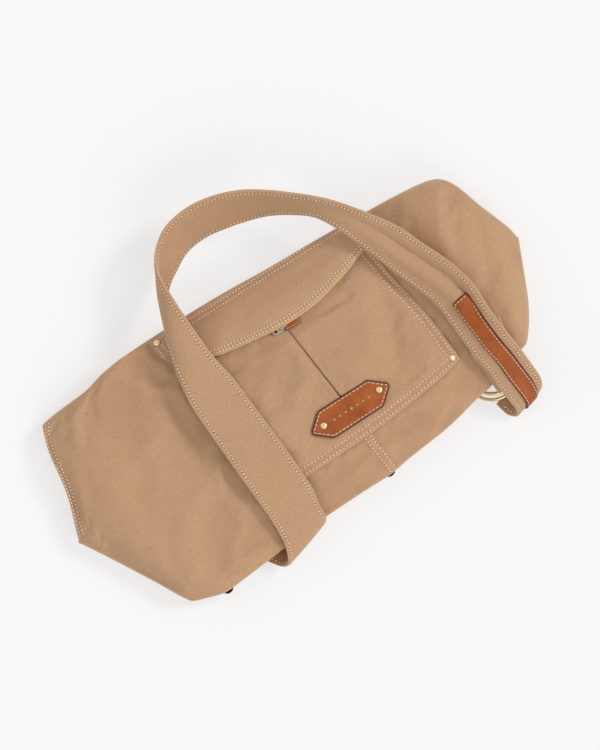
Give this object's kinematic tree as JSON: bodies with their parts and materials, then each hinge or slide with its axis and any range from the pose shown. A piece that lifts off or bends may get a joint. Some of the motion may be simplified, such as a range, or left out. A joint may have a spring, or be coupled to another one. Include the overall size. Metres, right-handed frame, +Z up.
{
  "type": "shoulder bag",
  "caption": "Canvas shoulder bag lying on its back, with a flapped zip pocket, leather label, wide sling strap, and a leather-trimmed strap end on round rings.",
  "frame": {"origin": "centre of the overall footprint, on the surface the bag lies on", "axes": "+X along the bag's length, +Y towards its mouth, +Z up out of the pocket side"},
  "size_m": [0.433, 0.2913, 0.0713],
  "materials": {
    "canvas": "matte khaki cotton twill",
    "lining": "matte golden cotton",
    "gold_facing": "matte golden cotton",
    "zip_tape": "woven tape",
    "leather": "smooth tan, burnished edges",
    "pale_brass": "polished pale gold",
    "nickel": "polished nickel",
    "gunmetal": "dark satin plate"
  },
  "bodies": {
    "root": {"front_panel_left": "canvas", "front_panel_right": "canvas", "back_panel": "canvas", "lining_front": "lining", "lining_back": "lining", "pocket_panel_left": "canvas", "pocket_panel_right": "canvas", "pocket_pleat_underlay": "canvas", "pocket_top_band": "canvas", "zip_tape_lower": "zip_tape", "zip_tape_upper": "zip_tape", "zip_teeth_lower": "nickel", "zip_teeth_upper": "nickel", "zip_stop_left": "nickel", "zip_stop_right": "nickel", "leather_label": "leather", "label_rivet_left": "pale_brass", "label_rivet_right": "pale_brass", "pocket_rivet_lower_left": "pale_brass", "pocket_rivet_lower_right": "pale_brass", "snap_stud": "nickel", "snap_socket": "nickel", "strap_fold_left": "canvas", "strap_fold_right": "canvas", "ring_tab": "canvas", "base_foot_left": "gunmetal", "base_foot_centre": "gunmetal"},
    "pocket_flap": {"pocket_flap": "canvas", "flap_facing": "gold_facing", "flap_rivet_left": "pale_brass", "flap_rivet_right": "pale_brass"},
    "zip_slider": {"zip_slider": "nickel"},
    "zip_pull": {"zip_pull_link": "nickel"},
    "pull_tab": {"zip_pull_tab": "leather", "zip_tab_eye": "nickel"},
    "shoulder_strap": {"strap_main": "canvas", "strap_doubled_end": "canvas", "strap_leather_patch": "leather"},
    "ring_lower": {"ring_lower": "pale_brass"},
    "ring_upper": {"ring_upper": "pale_brass"}
  },
  "joints": [
    {"name": "strap_swing", "type": "hinge", "parent": "root", "child": "shoulder_strap", "pos_m": [0.05, -0.116, 0.0333], "axis": [1, 0, 0], "range_deg": [0, 120]},
    {"name": "flap_lift", "type": "hinge", "parent": "root", "child": "pocket_flap", "pos_m": [0.013, 0.058, 0.0416], "axis": [-1, 0, 0], "range_deg": [0, 8]},
    {"name": "zip_slide", "type": "slide", "parent": "root", "child": "zip_slider", "axis": [1, 0, 0], "range_m": [-0.046, 0.045]},
    {"name": "pull_swing", "type": "hinge", "parent": "zip_slider", "child": "zip_pull", "pos_m": [0.011, 0.035, 0.0465], "axis": [0, 0, 1], "range_deg": [-40, 25]},
    {"name": "tab_swing", "type": "hinge", "parent": "zip_pull", "child": "pull_tab", "pos_m": [0.0145, 0.0207, 0.0465], "axis": [0, 0, 1], "range_deg": [-90, 10]},
    {"name": "ring_lower_turn", "type": "hinge", "parent": "root", "child": "ring_lower", "pos_m": [0.1407, -0.1045, 0.0056], "axis": [0, 0, 1], "continuous": true},
    {"name": "ring_upper_turn", "type": "hinge", "parent": "root", "child": "ring_upper", "pos_m": [0.1434, -0.1002, 0.009], "axis": [0, 0, 1], "continuous": true}
  ]
}
